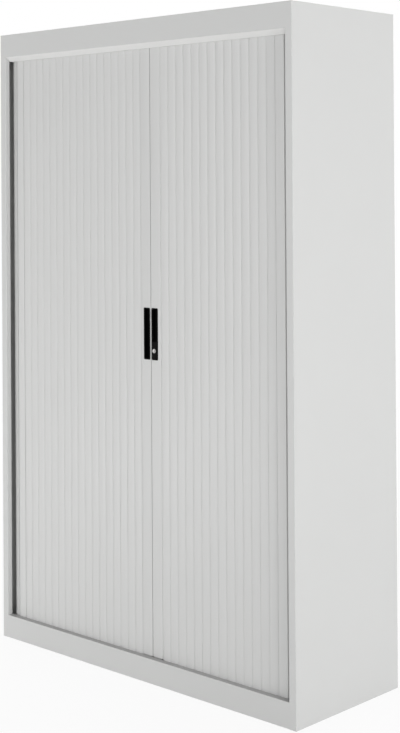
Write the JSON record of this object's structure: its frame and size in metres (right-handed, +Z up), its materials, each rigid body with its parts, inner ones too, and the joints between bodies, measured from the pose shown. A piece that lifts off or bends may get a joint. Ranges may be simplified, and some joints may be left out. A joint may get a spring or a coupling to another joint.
{
  "type": "roller-front storage cabinet",
  "caption": "Tall sheet-steel cabinet closed by roller curtains that slide to the sides, with recessed pulls, a cam lock, shelves and levelling feet.",
  "frame": {"origin": "middle of the footprint, on the floor", "axes": "+X to the right as seen from the front, +Y to the back, +Z up"},
  "size_m": [1.2, 0.45, 1.9],
  "materials": {
    "housing_paint": "fine-textured light grey powder coat",
    "bar_paint": "fine-textured light grey powder coat",
    "slat_plastic": "matt light grey extruded plastic",
    "track_light": "satin near-white extruded plastic",
    "track_dark": "satin mid grey extruded plastic",
    "pull_black": "fine-grained black moulded plastic",
    "seal_rubber": "soft grey rubber",
    "lock_metal": "satin nickel plate",
    "lock_black": "satin black plate",
    "zinc_steel": "bright zinc plate",
    "foot_plastic": "black moulded plastic"
  },
  "bodies": {
    "housing": {"side_left": "housing_paint", "side_right": "housing_paint", "top_panel": "housing_paint", "top_rail": "housing_paint", "ceiling_panel": "housing_paint", "base_panel": "housing_paint", "bottom_rail": "housing_paint", "rear_plinth": "housing_paint", "back_panel": "housing_paint", "back_rivets": "zinc_steel", "liner_left": "housing_paint", "liner_right": "housing_paint", "inner_back": "housing_paint", "bottom_track_left": "track_dark", "bottom_track_right": "track_dark", "top_track_left": "track_light", "top_track_right": "track_light", "curtain_stops": "track_dark", "tail_slats_left": "slat_plastic", "tail_slats_right": "slat_plastic", "foot_brackets": "zinc_steel", "foot_nuts": "zinc_steel", "foot_hole_plugs": "track_light", "upright_front_left": "zinc_steel", "upright_front_right": "zinc_steel", "upright_rear_left": "zinc_steel", "upright_rear_right": "zinc_steel", "shelf_1": "housing_paint", "shelf_clips_1": "zinc_steel", "shelf_2": "housing_paint", "shelf_clips_2": "zinc_steel", "shelf_3": "housing_paint", "shelf_clips_3": "zinc_steel", "shelf_4": "housing_paint", "shelf_clips_4": "zinc_steel"},
    "left_shutter": {"closing_bar_left": "bar_paint", "pull_left": "pull_black", "bar_glides_left": "track_dark", "lock_keeper": "zinc_steel", "slats_left": "slat_plastic"},
    "right_shutter": {"closing_bar_right": "bar_paint", "pull_right": "pull_black", "bar_glides_right": "track_dark", "seam_seal": "seal_rubber", "slats_right": "slat_plastic", "lock_housing": "lock_black", "lock_nut": "zinc_steel"},
    "lock_cylinder": {"lock_plug": "lock_metal", "lock_hook": "zinc_steel", "hook_screw": "zinc_steel"},
    "foot_front_left": {"foot_pad_front_left": "foot_plastic", "foot_spindle_front_left": "zinc_steel"},
    "foot_front_right": {"foot_pad_front_right": "foot_plastic", "foot_spindle_front_right": "zinc_steel"},
    "foot_rear_left": {"foot_pad_rear_left": "foot_plastic", "foot_spindle_rear_left": "zinc_steel"},
    "foot_rear_right": {"foot_pad_rear_right": "foot_plastic", "foot_spindle_rear_right": "zinc_steel"}
  },
  "joints": [
    {"name": "left_shutter_slide", "type": "slide", "parent": "housing", "child": "left_shutter", "axis": [-1, 0, 0], "range_m": [0, 0.5174], "deforming": ["slats_left"]},
    {"name": "right_shutter_slide", "type": "slide", "parent": "housing", "child": "right_shutter", "axis": [1, 0, 0], "range_m": [0, 0.425], "deforming": ["slats_right"]},
    {"name": "lock_turn", "type": "hinge", "parent": "right_shutter", "child": "lock_cylinder", "pos_m": [0.0677, -0.19, 0.947], "axis": [0, 1, 0], "range_deg": [0, 90]},
    {"name": "foot_front_left_screw", "type": "slide", "parent": "housing", "child": "foot_front_left", "axis": [0, 0, -1], "range_m": [0, 0.012]},
    {"name": "foot_front_right_screw", "type": "slide", "parent": "housing", "child": "foot_front_right", "axis": [0, 0, -1], "range_m": [0, 0.012]},
    {"name": "foot_rear_left_screw", "type": "slide", "parent": "housing", "child": "foot_rear_left", "axis": [0, 0, -1], "range_m": [0, 0.012]},
    {"name": "foot_rear_right_screw", "type": "slide", "parent": "housing", "child": "foot_rear_right", "axis": [0, 0, -1], "range_m": [0, 0.012]}
  ]
}
